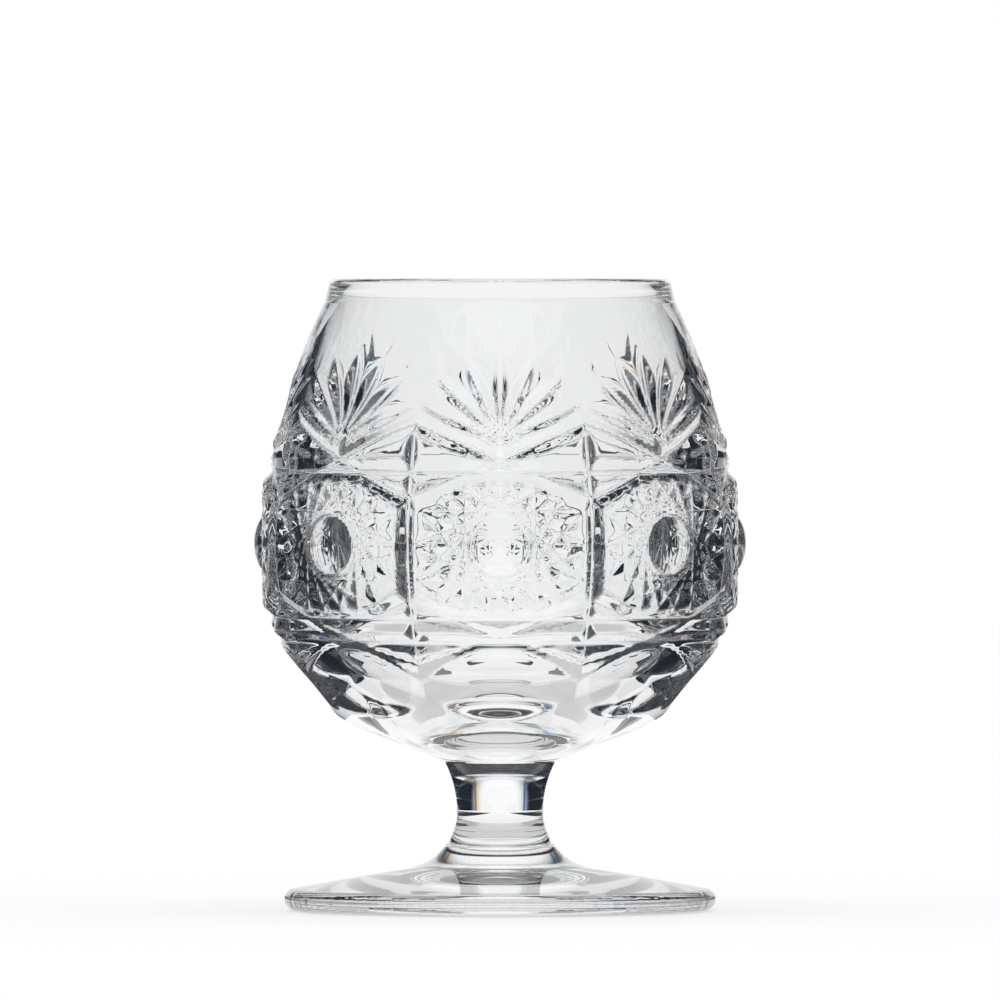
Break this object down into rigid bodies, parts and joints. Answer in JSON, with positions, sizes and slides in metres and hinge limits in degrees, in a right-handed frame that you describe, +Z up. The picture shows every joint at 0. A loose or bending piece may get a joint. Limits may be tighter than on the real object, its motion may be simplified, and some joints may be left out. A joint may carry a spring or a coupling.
{
  "type": "brandy snifter",
  "caption": "Hand-cut crystal brandy snifter: a round bowl with star, fan and mitre cuts narrows to the mouth and stands on a short stem and a wide flat foot.",
  "frame": {"origin": "centre of the resting face under the foot", "axes": "+Z up along the axis of the glass; -Y is the side of the picture, through the middle of a cut panel"},
  "size_m": [0.0914, 0.0914, 0.117],
  "materials": {
    "crystal": "polished"
  },
  "bodies": {
    "root": {"bowl": "crystal", "stem": "crystal", "foot": "crystal"}
  },
  "joints": []
}
